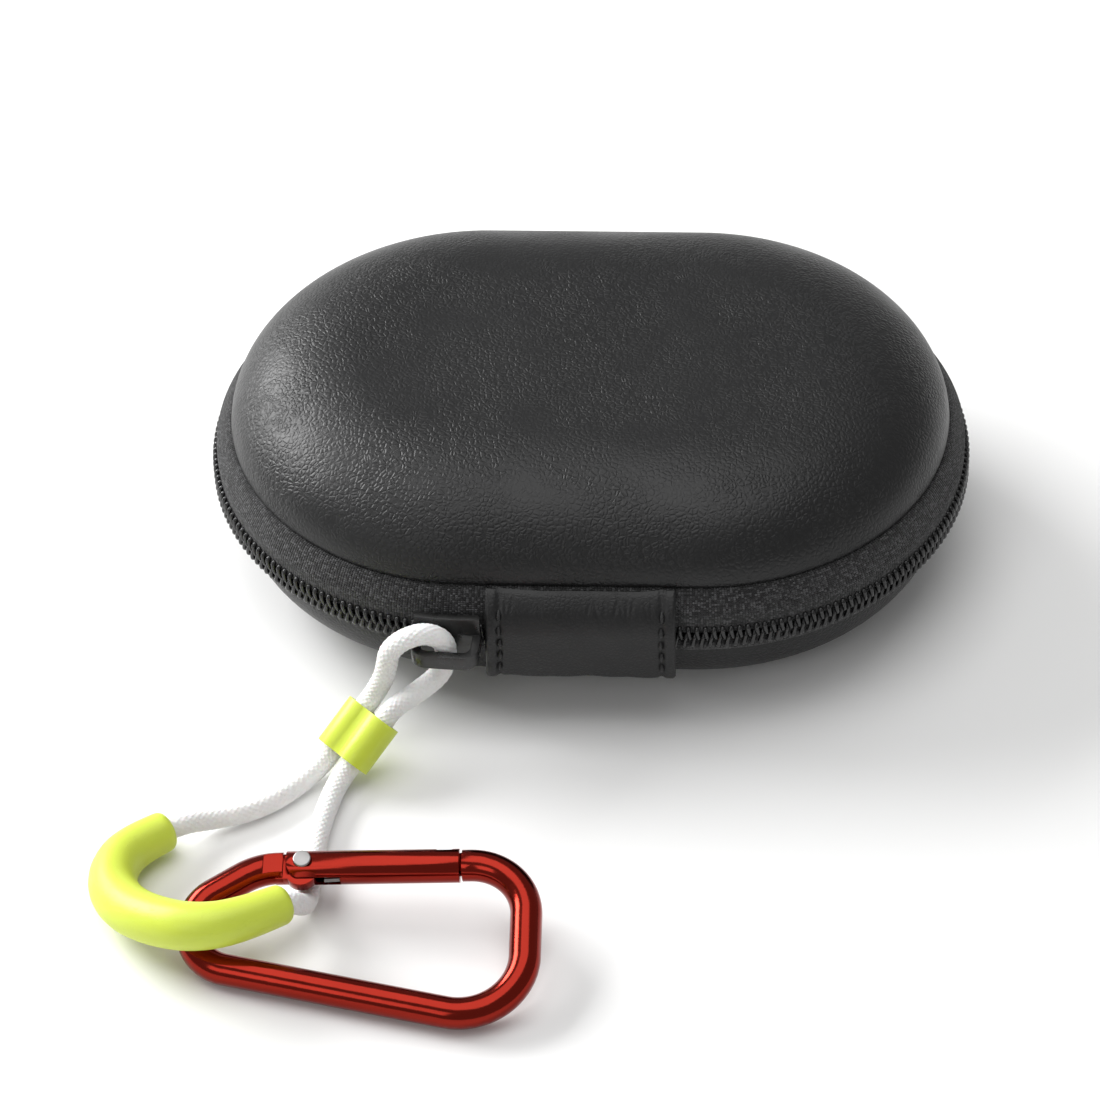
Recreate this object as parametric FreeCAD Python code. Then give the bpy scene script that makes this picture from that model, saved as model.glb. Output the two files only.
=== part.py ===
import FreeCAD, Part
import math
import os

os.makedirs("parts", exist_ok=True)

V = FreeCAD.Vector

# ---------------------------------------- sizes, in millimetres
# X runs along the case, Y away from the hinge side, Z up. The case rests on z = 0.

case_length = 115.0        # outside of the zip chain, along X
case_width = 82.0          # outside of the zip chain, along Y
case_height = 37.0         # rest face to top of the dome

band_inset = 3.0           # how far the cover's foot stands inside the zip chain
band_half = 6.0            # half of the soft zip band between the two rims
dome_reach = 20.0          # run of the rounded shoulder, foot to flat crown
cover_thick = 1.0          # leather with its thin backing
shell_thick = 2.4          # moulded foam shell
lining_thick = 0.5         # inside fabric

tape_thick = 0.6
tape_edge = 0.9            # bead edge of the tape, from the chain's middle
tape_straight = 2.6        # upright part of the tape, the run of the slider
tape_inset = 0.5           # tape behind the front of the coils
tape_flange = 3.6          # sewn part under the shell's rim
tape_flange_thick = 0.5

coil_deep = 1.7            # coil, front to back
coil_gap = 0.6             # half of the gap between the two coils
coil_high = 2.0            # one coil row
coil_under_tab = 1.5       # coil that still runs behind each edge of the patch
stop_length = 2.0          # end stop, along the chain
stop_thick = 0.4           # clip of the stop in front of the tape
stop_back = 0.5            # clip of the stop behind the tape

binding_in = 1.3           # start of the rim binding, inside the cover's foot
binding_thick = 0.5
binding_up = 0.9           # turned up leg of the binding
binding_gap = 0.05         # leg to lining

pocket_edge = 8.0          # open edge of the pocket, from the case's middle
pocket_thick = 0.3         # net
pocket_gap = 0.35          # net to lining
elastic_wide = 3.0
elastic_thick = 1.2

tab_width = 28.0           # leather patch over the hinge
tab_thick = 1.3
tab_bulge = 0.5            # inside of the patch stands this far outside the chain
tab_up = 6.0               # patch above the chain's middle
tab_down = 8.1             # patch below it
tab_top_in = 2.1           # upper edge of the patch leans this far in over the tape
stitch_margin = 2.1        # stitch row from the patch's side edge
stitch_count = 5
stitch_thread = 0.6
strip_thick = 0.5          # fabric strip inside the hinge
strip_gap = 0.4            # strip to coil
strip_up = 4.7             # strip above and below the chain's middle
strip_lean = 1.9           # how far its two edges lean inwards
strip_margin = 0.8         # strip ends inside the patch's side edge

hinge_out = 0.3            # hinge line outside the zip chain
slider_past = 2.9          # parked slider, past the start of the left round end
slider_length = 9.2
slider_wide = 7.4          # slider, across the chain
slider_plate = 1.1
back_thick = 1.0           # slider's inner wing
back_high = 6.0
lip_deep = 0.6             # lower lip of the slider's outer wing
lip_high = 0.5
slider_play_out = 0.9      # room for the coil to swing out of the slider
slider_play_in = 0.4
post_wide = 0.9            # wedge between the two coils
post_half_angle = 1.1      # degrees
crown_length = 10.0        # bridge that the cord goes through
crown_strap = 1.2
crown_wide = 2.4
crown_drop = 0.5           # bridge sits this far under the chain's middle
crown_round = 2.4

cord_dia = 3.3
cord_play = 0.4            # cord in the bridge
bead_length = 7.8
bead_wall = 0.85
bead_web = 0.5             # wall between the two bores
bead_play = 0.2            # around each strand
bead_waist = 0.45          # groove between the bead's two lobes
past = 2.0                 # straight cord past each end of the bead
grip_dia = 6.8
grip_end_round = 1.2

clip_lift = 1.15           # gate above the cord that passes under it
stock_dia = 4.6            # carabiner bar
gate_dia = 4.9
gate_length = 24.9
gate_tail = 2.4            # gate behind the rivet
tongue_thick = 1.8         # hinge tongue of the body
tongue_round = 2.3
tongue_drop = 0.9          # its lower lobe
flat_length = 3.0          # milled flats beside the tongue
flat_at = 1.75             # from the middle of the bar
nose_thick = 1.5
nose_deep = 3.0
nose_back = 2.5            # nose reaches this far into the gate
nose_pin = 1.7             # cross pin at the nose's tip
nose_pin_long = 3.2
gate_play = 0.2
rivet_dia = 1.9
rivet_head = 2.6
rivet_head_high = 0.45
spring_wire = 0.7
spring_length = 2.2
notch_length = 4.6         # notch under the gate for the spring's end
notch_wide = 2.2
notch_deep = 1.6
notch_high = 1.05          # notch's roof above the gate's lowest line
notch_start = 0.8          # notch, from the rivet

# ---------------------------------------- sizes that follow

half_length = case_length / 2
end_radius = case_width / 2
centre_x = half_length - end_radius       # middle of each round end
mid_z = case_height / 2                   # middle of the zip chain
dome_rise = mid_z - band_half             # foot of the cover to the crown
crown_hole = cord_dia + cord_play         # clear height of the bridge
bead_spread = cord_dia + 2 * bead_play + bead_web


# ---------------------------------------- building blocks

def save(shape, node):
    """Write one node as one STEP file."""
    if not shape.isValid():
        shape.fix(0.01, 0.01, 0.01)
    shape.exportStep("parts/" + node + ".step")
    print(node, "solids", len(shape.Solids), "volume", round(shape.Volume, 1), "valid", shape.isValid())


def polygon(points):
    """Closed face from a list of corner points."""
    return Part.Face(Part.makePolygon(list(points) + [points[0]]))


def racetrack_ring(section):
    """Band that runs all round the case. section: corners as (inset from the chain, height)."""
    pieces = []
    for side in (-1, 1):
        corners = [V(side * centre_x + side * (end_radius - d), 0, z) for d, z in section]
        half = polygon(corners)
        start = half.copy()
        start.rotate(V(side * centre_x, 0, 0), V(0, 0, 1), -90)
        axis = V(side * centre_x, 0, 0)
        pieces.append(start.revolve(axis, V(0, 0, 1), 180))
    for side in (-1, 1):
        corners = [V(-centre_x, side * (end_radius - d), z) for d, z in section]
        pieces.append(polygon(corners).extrude(V(2 * centre_x, 0, 0)))
    ring = pieces[0].multiFuse(pieces[1:])
    return ring.removeSplitter()


def dome(inset, reach, rise, foot):
    """Solid lid shape: round ended plan, elliptical shoulder, flat crown. foot: height it starts at."""
    radius = end_radius - inset
    flat = radius - reach
    middle = V(flat, 0, foot)
    curve = Part.Ellipse(V(radius, 0, foot), V(flat, 0, foot + rise), middle)
    shoulder = Part.ArcOfEllipse(curve, 0, math.pi / 2).toShape()
    outer = V(radius, 0, foot)
    top = V(flat, 0, foot + rise)
    crown = V(0, 0, foot + rise)
    base = V(0, 0, foot)
    edges = [shoulder, Part.makeLine(top, crown), Part.makeLine(crown, base), Part.makeLine(base, outer)]
    half = Part.Face(Part.Wire(Part.__sortEdges__(edges)))
    pieces = []
    for side, turn in ((1, -90), (-1, 90)):
        end = half.copy()
        end.rotate(V(0, 0, 0), V(0, 0, 1), turn)
        end.translate(V(side * centre_x, 0, 0))
        pieces.append(end.revolve(V(side * centre_x, 0, 0), V(0, 0, 1), 180))
    for turn in (-90, 90):
        side_face = half.copy()
        side_face.rotate(V(0, 0, 0), V(0, 0, 1), turn)
        side_face.translate(V(-centre_x, 0, 0))
        pieces.append(side_face.extrude(V(2 * centre_x, 0, 0)))
    solid = pieces[0].multiFuse(pieces[1:])
    return solid.removeSplitter()


def layer(inset, thick):
    """One layer of the upper half, from the rim up."""
    foot = mid_z + band_half
    grow = inset - band_inset
    outer = dome(inset, dome_reach - grow, dome_rise - grow, foot)
    inner = dome(inset + thick, dome_reach - grow - thick, dome_rise - grow - thick, foot)
    return outer.cut(inner)


def lower(shape):
    """The same shape turned over about the chain's middle plane."""
    return shape.mirror(V(0, 0, mid_z), V(0, 0, 1))


def tube(points, dia, name):
    """Round bar along straight runs joined by tangent arcs. Prints the bend radii and checks the volume."""
    path = []
    here = points[0]
    radii = []
    for before, corner, after in zip(points, points[1:], points[2:]):
        into = corner - before
        out = after - corner
        short = min(into.Length, out.Length)
        turn = into.getAngle(out)
        reach = 0.45 * short
        radii.append(round(reach / math.tan(turn / 2), 1))
        first = corner - V(into).normalize() * reach
        last = corner + V(out).normalize() * reach
        to_centre = V(out).normalize() - V(into).normalize()
        to_centre.normalize()
        radius = reach / math.tan(turn / 2)
        centre = corner + to_centre * (radius / math.cos(turn / 2))
        middle = centre - to_centre * radius
        path.append(Part.LineSegment(here, first).toShape())
        path.append(Part.Arc(first, middle, last).toShape())
        here = last
    path.append(Part.LineSegment(here, points[-1]).toShape())
    wire = Part.Wire(path)
    start = (points[1] - points[0]).normalize()
    ring = Part.Wire(Part.makeCircle(dia / 2, points[0], start))
    bar = wire.makePipeShell([ring], True, False)
    ideal = math.pi * dia * dia / 4 * wire.Length
    print(name, "length", round(wire.Length, 1), "radii", radii, "volume / section x length",
          round(bar.Volume / ideal, 4))
    return bar


# ---------------------------------------- case: cover, shell and lining

shell_inset = band_inset + cover_thick
lining_inset = shell_inset + shell_thick
inside_inset = lining_inset + lining_thick

upper_cover = layer(band_inset, cover_thick)
upper_shell = layer(shell_inset, shell_thick)
upper_lining = layer(lining_inset, lining_thick)

save(upper_cover, "upper_cover")
save(upper_shell, "upper_shell")
save(upper_lining, "upper_lining")
save(lower(upper_cover), "lower_cover")
save(lower(upper_shell), "lower_shell")
save(lower(upper_lining), "lower_lining")

# ---------------------------------------- zip tape, coils and rim binding

tape_section = [
    (tape_inset, mid_z + tape_edge),
    (tape_inset, mid_z + tape_straight),
    (band_inset, mid_z + band_half),
    (band_inset + tape_flange, mid_z + band_half),
    (band_inset + tape_flange, mid_z + band_half - tape_flange_thick),
    (band_inset + tape_thick, mid_z + band_half - tape_flange_thick),
    (tape_inset + tape_thick, mid_z + tape_straight + 0.2),
    (tape_inset + tape_thick, mid_z + tape_edge),
]
tape = racetrack_ring(tape_section)

coil_section = [
    (0.0, mid_z + coil_gap),
    (0.0, mid_z + coil_gap + coil_high),
    (coil_deep, mid_z + coil_gap + coil_high),
    (coil_deep, mid_z + coil_gap),
]
coil = racetrack_ring(coil_section)
coil_end = tab_width / 2 - coil_under_tab
under_tab = Part.makeBox(2 * coil_end, 2 * end_radius, case_height, V(-coil_end, -2 * end_radius, 0))
coil = coil.cut(under_tab).cut(tape)
coil = coil.removeSplitter()

save(tape, "upper_zip_tape")
save(lower(tape), "lower_zip_tape")
save(coil, "upper_zip_coil")
save(lower(coil), "lower_zip_coil")

stops = []
for side in (-1, 1):
    x = side * (coil_end - stop_length / 2 - 0.1) - stop_length / 2
    foot = mid_z - coil_gap - coil_high
    outer_y = -end_radius + tape_inset - stop_thick
    inner_y = -end_radius + tape_inset + tape_thick
    stops.append(Part.makeBox(stop_length, stop_thick, coil_high, V(x, outer_y, foot)))
    stops.append(Part.makeBox(stop_length, stop_back, coil_high, V(x, inner_y, foot)))
save(Part.makeCompound(stops), "zip_end_stops")

def lining_lean(high):
    """How far the lining's inside has leaned in at a height above the rim."""
    reach = dome_reach - (inside_inset - band_inset)
    rise = dome_rise - (inside_inset - band_inset)
    return reach * (1 - math.sqrt(1 - (high / rise) ** 2))


binding_leg = inside_inset + lining_lean(binding_up) + binding_gap
binding_top = mid_z + band_half - tape_flange_thick
binding_foot = binding_top - binding_thick
binding_section = [
    (band_inset + binding_in, binding_foot),
    (binding_leg + binding_thick, binding_foot),
    (binding_leg + binding_thick, mid_z + band_half + binding_up),
    (binding_leg, mid_z + band_half + binding_up),
    (binding_leg, binding_top),
    (band_inset + binding_in, binding_top),
]
binding = racetrack_ring(binding_section)
save(binding, "upper_rim_binding")
save(lower(binding), "lower_rim_binding")

# ---------------------------------------- net pocket in the lid

pocket_z = mid_z + band_half + binding_up + 0.05
pocket_inset = inside_inset + pocket_gap
room = dome(pocket_inset, dome_reach - 8, 2.0, pocket_z).cut(
    Part.makeBox(case_length, case_width, 10, V(-half_length, -end_radius, pocket_z + pocket_thick)))
behind = Part.makeBox(case_length, case_width, case_height, V(-half_length, pocket_edge, 0))
net = room.cut(behind)
save(net, "pocket_net")
elastic = Part.makeBox(case_length, elastic_wide, elastic_thick, V(-half_length, pocket_edge, pocket_z))
elastic_inset = inside_inset + lining_lean(pocket_z + elastic_thick - mid_z - band_half) + pocket_gap
elastic_plan = racetrack_ring([
    (elastic_inset, pocket_z - 1),
    (elastic_inset, pocket_z + 4),
    (end_radius - 0.5, pocket_z + 4),
    (end_radius - 0.5, pocket_z - 1),
])
save(elastic.common(elastic_plan), "pocket_elastic")

# ---------------------------------------- hinge patch, its thread and the inside strip

front = -end_radius
tab_inner = [
    (tab_top_in, tab_up - 0.4),
    (-0.1, 3.4),
    (-tab_bulge, 1.2),
    (-tab_bulge, -3.0),
    (-tab_bulge + 0.3, -tab_down),
]
tab_outer = [(d - tab_thick, h) for d, h in tab_inner]
tab_outer[0] = (tab_inner[0][0] - tab_thick + 0.3, tab_up)
tab_profile = tab_inner + tab_outer[::-1]
tab = polygon([V(-tab_width / 2, front + d, mid_z + h) for d, h in tab_profile])
tab = tab.extrude(V(tab_width, 0, 0))

stitches = []
stitch_run = (tab_up + tab_down - 2.4) / stitch_count
for side in (-1, 1):
    for n in range(stitch_count):
        low = -tab_down + 1.2 + n * stitch_run + 0.15 * stitch_run
        high = low + 0.7 * stitch_run
        x = side * (tab_width / 2 - stitch_margin)
        heights = [low, (low + high) / 2, high]
        depth = []
        for h in heights:
            for (d0, h0), (d1, h1) in zip(tab_outer, tab_outer[1:]):
                if h1 <= h <= h0:
                    depth.append(d0 + (d1 - d0) * (h - h0) / (h1 - h0))
        bottom = V(x, front + depth[0], mid_z + low)
        top = V(x, front + depth[2], mid_z + high)
        stitch = Part.makeCylinder(stitch_thread / 2, (top - bottom).Length, bottom, top - bottom)
        stitches.append(stitch)
thread = stitches[0].multiFuse(stitches[1:])
tab = tab.cut(thread)
save(tab, "hinge_tab")
save(Part.makeCompound(thread.Solids), "tab_stitching")

strip_in = coil_deep + strip_gap
strip_half = tab_width / 2 - strip_margin
strip_face = [
    (strip_in + strip_lean, strip_up),
    (strip_in, strip_up / 2),
    (strip_in, -strip_up / 2),
    (strip_in + strip_lean, -strip_up),
]
strip_profile = strip_face + [(d + strip_thick, h) for d, h in reversed(strip_face)]
strip = polygon([V(-strip_half, front + d, mid_z + h) for d, h in strip_profile])
strip = strip.extrude(V(2 * strip_half, 0, 0))
save(strip, "hinge_strip")

# ---------------------------------------- zip slider, built round the centre of the left end

pivot = V(-centre_x, 0, 0)
park = math.asin(slider_past / end_radius)                 # how far round the end it is parked


def on_path(shape):
    """Turn a slider piece, built facing -Y at the pivot, to its parking place."""
    turned = shape.copy()
    turned.rotate(pivot, V(0, 0, 1), -math.degrees(park))
    return turned


def sector(inner, outer, low, high, spread):
    """Piece of a ring about the left end's centre, in the middle of -Y, spread: half angle in degrees."""
    corners = [V(-centre_x, -inner, low), V(-centre_x, -outer, low), V(-centre_x, -outer, high),
               V(-centre_x, -inner, high)]
    face = polygon(corners)
    face.rotate(pivot, V(0, 0, 1), -spread)
    return face.revolve(pivot, V(0, 0, 1), 2 * spread)


def upright_edges(block, front_y):
    """The edges of a block that stand along Z in its front face."""
    found = []
    for edge in block.Edges:
        a, b = edge.Vertexes[0].Point, edge.Vertexes[1].Point
        if abs(a.x - b.x) < 1e-6 and abs(a.y - b.y) < 1e-6 and a.y < front_y + 1e-3:
            found.append(edge)
    return found


plate_in = end_radius + slider_play_out
plate_out = plate_in + slider_plate
back_out = end_radius - coil_deep - slider_play_in
half_angle = math.degrees(slider_length / 2 / end_radius)
plate = sector(plate_in, plate_out, mid_z - slider_wide / 2, mid_z + slider_wide / 2, half_angle)
back = sector(back_out - back_thick, back_out, mid_z - back_high / 2, mid_z + back_high / 2, half_angle)
plate_foot = mid_z - slider_wide / 2
lip = sector(plate_in - lip_deep, plate_in, plate_foot, plate_foot + lip_high, half_angle)
post = sector(back_out - 0.5, plate_in + 0.5, mid_z - post_wide / 2, mid_z + post_wide / 2, post_half_angle)
post.rotate(pivot, V(0, 0, 1), half_angle - post_half_angle)
crown_z = mid_z - crown_drop
crown_front = plate_out + crown_hole + crown_strap
crown = Part.makeBox(crown_length, crown_front - plate_in - 0.3, crown_wide,
                     V(-centre_x - crown_length / 2, -crown_front, crown_z - crown_wide / 2))
crown = crown.makeFillet(crown_round, upright_edges(crown, -crown_front))
hole_length = crown_length - 2 * crown_strap
hole = Part.makeBox(hole_length, crown_hole, 2 * crown_wide,
                    V(-centre_x - hole_length / 2, -plate_out - crown_hole, crown_z - crown_wide))
hole = hole.makeFillet(crown_round - crown_strap, upright_edges(hole, -plate_out - crown_hole))
crown = crown.cut(hole)
slider = plate.multiFuse([back, lip, post, crown]).removeSplitter()
save(on_path(slider), "slider_body")

# ---------------------------------------- lanyard cord, bead and grip

hole_mid = end_radius + slider_play_out + slider_plate + crown_hole / 2
hole_x = -19.672                                # the bridge's hole as these points were chosen
hole_y = -44.738
hole_z = mid_z                                  # the loop follows the chain's height
follow = V(-centre_x - hole_mid * math.sin(park) - hole_x, -hole_mid * math.cos(park) - hole_y, 0)

bead_top = V(-30.4, -48.5, 8.0)                 # middle of the bead's upper end
bead_axis = V(-4.6, -4.6, -4.4).normalize()     # down towards the grip
bead_across = V(0.707, -0.707, 0)
bead_low = bead_top + bead_axis * bead_length


def strand(side, end, beyond):
    """Point on a strand beside the bead. side: -1 or 1, end: bead_top or bead_low, beyond: outward."""
    way = -1 if end is bead_top else 1
    return end + bead_across * (side * bead_spread / 2) + bead_axis * (way * beyond)


grip_route = [
    V(-60.2, -68.9, 3.5),
    V(-64.3, -71.8, 3.5),
    V(-66.4, -76.1, 3.7),
    V(-66.2, -81.2, 4.4),
    V(-63.4, -86.2, 5.8),
    V(-58.9, -90.3, 7.9),
    V(-53.3, -93.0, 9.6),
    V(-47.0, -92.0, 9.8),
    V(-41.3, -88.0, 9.1),
]

cord_route = [
    grip_route[0],
    V(-57.4, -66.92, 3.5),
    V(-53.2, -64.7, 2.1),
    V(-47.9, -62.7, 1.75),
    V(-43.6, -59.6, 1.7),
    V(-40.1, -55.9, 1.85),
    strand(-1, bead_low, past),
    strand(-1, bead_top, past),
    V(-29.2, -44.8, 12.2),
    V(hole_x - 8.9, hole_y - 0.4, hole_z - 3.3),
    V(hole_x - 8.6, hole_y - 0.2, hole_z + 0.4),
    V(hole_x - 6.2, hole_y, hole_z + 3.1),
    V(hole_x - 2.4, hole_y, hole_z + 3.6),
    V(hole_x, hole_y, hole_z + 1.2),
    V(hole_x, hole_y, hole_z - 2.8),
    V(hole_x - 1.0, hole_y - 0.7, hole_z - 5.8),
    V(hole_x - 3.6, hole_y - 2.1, 10.5),
    strand(1, bead_top, past),
    strand(1, bead_low, past),
    V(-36.0, -58.6, 1.8),
    V(-36.9, -62.6, 1.7),
    V(-37.7, -67.3, 1.75),
    V(-37.9, -72.4, 1.7),
    V(-38.0, -77.0, 1.7),
    V(-37.9, -81.0, 2.1),
    V(-37.5, -83.9, 4.3),
    V(-37.8, -85.6, 7.1),
    V(-39.35, -86.64, 8.86),
    grip_route[-1],
]

cord = tube(cord_route, cord_dia, "cord")
grip = tube(grip_route, grip_dia, "grip")
ends = [e for e in grip.Edges if e.Closed and (
    (e.CenterOfMass - grip_route[0]).Length < 0.5 or (e.CenterOfMass - grip_route[-1]).Length < 0.5)]
grip = grip.makeFillet(grip_end_round, ends)
cord.translate(follow)
grip.translate(follow)
save(cord, "lanyard_cord")
save(grip, "lanyard_grip")

bore = cord_dia + 2 * bead_play
bead_radius = bore / 2 + bead_wall
lobes = []
bores = []
for side in (-1, 1):
    foot = bead_low + bead_across * (side * bead_spread / 2)
    lobes.append(Part.makeCylinder(bead_radius, bead_length, foot, bead_axis * -1))
    bores.append(Part.makeCylinder(bore / 2, bead_length + 2, foot + bead_axis, bead_axis * -1))
web = Part.makeBox(bead_spread, 2 * (bead_radius - bead_waist), bead_length)
web.translate(V(-bead_spread / 2, -bead_radius + bead_waist, 0))
thick_way = bead_across.cross(bead_axis * -1)
turn = FreeCAD.Matrix(
    bead_across.x, -thick_way.x, -bead_axis.x, bead_low.x,
    bead_across.y, -thick_way.y, -bead_axis.y, bead_low.y,
    bead_across.z, -thick_way.z, -bead_axis.z, bead_low.z,
    0, 0, 0, 1)
web = web.transformShape(turn)
bead = lobes[0].multiFuse([lobes[1], web])
bead = bead.cut(bores[0]).cut(bores[1]).removeSplitter()
bead.translate(follow)
save(bead, "cord_bead")

# ---------------------------------------- carabiner, drawn flat, then laid in its plane

body_corners = [
    (22.9, 0.0, 0),
    (32.3, 0.0, 8.2),
    (32.3, -26.1, 9.0),
    (-15.6, -15.2, 6.6),
    (-15.6, -5.9, 6.2),
    (-6.4, 0.0, 9.8),
    (-2.9, 0.0, 0),
]


def flat_path(corners):
    """Wire in the XY plane: straight runs, each corner rounded by its own radius."""
    edges = []
    here = V(corners[0][0], corners[0][1], 0)
    for n in range(1, len(corners) - 1):
        corner = V(corners[n][0], corners[n][1], 0)
        into = (corner - V(corners[n - 1][0], corners[n - 1][1], 0)).normalize()
        out = (V(corners[n + 1][0], corners[n + 1][1], 0) - corner).normalize()
        turn_angle = into.getAngle(out)
        reach = corners[n][2] * math.tan(turn_angle / 2)
        first = corner - into * reach
        last = corner + out * reach
        inward = (out - into).normalize()
        middle = corner + inward * (corners[n][2] * (1 / math.cos(turn_angle / 2) - 1))
        if (first - here).Length > 1e-4:
            edges.append(Part.LineSegment(here, first).toShape())
        edges.append(Part.Arc(first, middle, last).toShape())
        here = last
    end = V(corners[-1][0], corners[-1][1], 0)
    edges.append(Part.LineSegment(here, end).toShape())
    return Part.Wire(edges)


bar_path = flat_path(body_corners)
bar_ring = Part.Wire(Part.makeCircle(stock_dia / 2, V(body_corners[0][0], 0, 0), V(1, 0, 0)))
bar = bar_path.makePipeShell([bar_ring], True, False)

tongue = Part.makeCylinder(tongue_round, tongue_thick, V(0, 0, -tongue_thick / 2))
tongue_lobe = Part.makeCylinder(tongue_round, tongue_thick, V(-0.3, -tongue_drop, -tongue_thick / 2))
tongue_root = Part.makeBox(4.0, 4.0, tongue_thick, V(-4.0, -2.2, -tongue_thick / 2))
gate_slot = tongue_thick + 2 * gate_play
nose_tip = gate_length - gate_tail - nose_back
nose_low = -1.3
nose_long = body_corners[0][0] - nose_tip + 0.3
nose = Part.makeBox(nose_long, nose_deep, nose_thick, V(nose_tip, nose_low, -nose_thick / 2))
nose_head = Part.makeCylinder(nose_pin / 2, nose_pin_long, V(nose_tip + 0.3, 0.2, -nose_pin_long / 2))
rivet_hole = Part.makeCylinder(rivet_dia / 2, 20, V(0, 0, -10))
body = bar.multiFuse([tongue, tongue_lobe, tongue_root, nose, nose_head]).cut(rivet_hole)
for side in (-1, 1):
    foot = flat_at if side > 0 else -flat_at - stock_dia
    milled = Part.makeBox(flat_length, 2 * stock_dia, stock_dia,
                          V(-gate_tail - 0.3 - flat_length, -stock_dia, foot))
    body = body.cut(milled)

gate = Part.makeCylinder(gate_dia / 2, gate_length, V(-gate_tail, 0, 0), V(1, 0, 0))
tail_keep = Part.makeCylinder(gate_tail, 10, V(0, 0, -5))
tail_zone = Part.makeBox(gate_tail + 1, 4, 10, V(-gate_tail - 1, -4, -5))
gate = gate.cut(tail_zone.cut(tail_keep))
gate = gate.cut(Part.makeBox(gate_tail + 4.4, 8, gate_slot, V(-gate_tail - 1, -4, -gate_slot / 2)))
nose_slot = nose_thick + 2 * gate_play
gate = gate.cut(Part.makeBox(10, 8, nose_slot, V(nose_tip - 0.9, nose_low - gate_play, -nose_slot / 2)))
pin_room = nose_pin_long + 2 * gate_play
gate = gate.cut(Part.makeBox(nose_pin + 0.6, 8, pin_room,
                             V(nose_tip - 0.85, -nose_pin / 2 - gate_play, -pin_room / 2)))
notch_foot = notch_high - notch_deep - gate_dia / 2
notch = Part.makeBox(notch_length, notch_deep, notch_wide, V(notch_start, notch_foot, -notch_wide / 2))
gate = gate.cut(notch)
gate = gate.cut(Part.makeCylinder(rivet_dia / 2 + 0.05, 20, V(0, 0, -10)))
gate = gate.removeSplitter()

rivet_top = gate_dia / 2 + 0.05
rivet = Part.makeCylinder(rivet_dia / 2, 2 * rivet_top, V(0, 0, -rivet_top))
for side in (-1, 1):
    head = Part.makeCylinder(rivet_head / 2, rivet_head_high,
                             V(0, 0, rivet_top if side > 0 else -rivet_top - rivet_head_high))
    rivet = rivet.fuse(head)
rivet = rivet.removeSplitter()

spring_y = notch_high - gate_dia / 2 - 0.6
spring = Part.makeCylinder(spring_wire / 2, spring_length, V(3.05, spring_y, 0), V(1, 0.05, 0))

plane_x = V(0.99855, -0.0074, 0.0532)
plane_z = V(-0.0534, -0.2349, 0.9706).normalize()
plane_x = (plane_x - plane_z * plane_x.dot(plane_z)).normalize()
plane_y = plane_z.cross(plane_x)
rivet_at = V(-38.5, -78.65, cord_dia + clip_lift + gate_dia / 2)
lay = FreeCAD.Matrix(
    plane_x.x, plane_y.x, plane_z.x, rivet_at.x,
    plane_x.y, plane_y.y, plane_z.y, rivet_at.y,
    plane_x.z, plane_y.z, plane_z.z, rivet_at.z,
    0, 0, 0, 1)


def laid(shape):
    """Move a piece from the drawing plane to where the carabiner lies."""
    moved = shape.copy()
    moved.Placement = FreeCAD.Placement(lay).multiply(moved.Placement)
    moved.translate(follow)
    return moved


save(laid(body), "carabiner_body")
save(laid(gate), "carabiner_gate")
save(laid(rivet), "gate_rivet")
save(laid(spring), "gate_spring")

for name, piece in (("carabiner", laid(body)), ("grip", grip), ("cord", cord), ("bead", bead)):
    print("lowest point of", name, round(piece.optimalBoundingBox().ZMin, 3))
print("hole", round(hole_x + follow.x, 3), round(hole_y + follow.y, 3))
print("park angle", round(math.degrees(park), 3))
print("lid hinge line at y", -end_radius - hinge_out)
print("rivet axis", plane_z, "eye middle", rivet_at + plane_x * 9.0 + plane_y * -11.5)
print("bead axis", bead_axis)
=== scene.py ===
# %% [markdown]
# # A zip-round pouch with a lanyard
# This lesson builds the looks of a small oval pouch: leather domes, a woven zip band, nylon teeth, a cord
# with a lime bead and grip, and a red clip. The mechanical model is loaded first as a fixed frame. Most
# pieces made here ride one of its bodies. A few lines are drawn nearer to how the
# real pouch looks than the model has them: the cord's route, the height of the chain, the lower dome.

# %% Load the frame
import math

import bpy
from mathutils import Matrix, Vector


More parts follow.
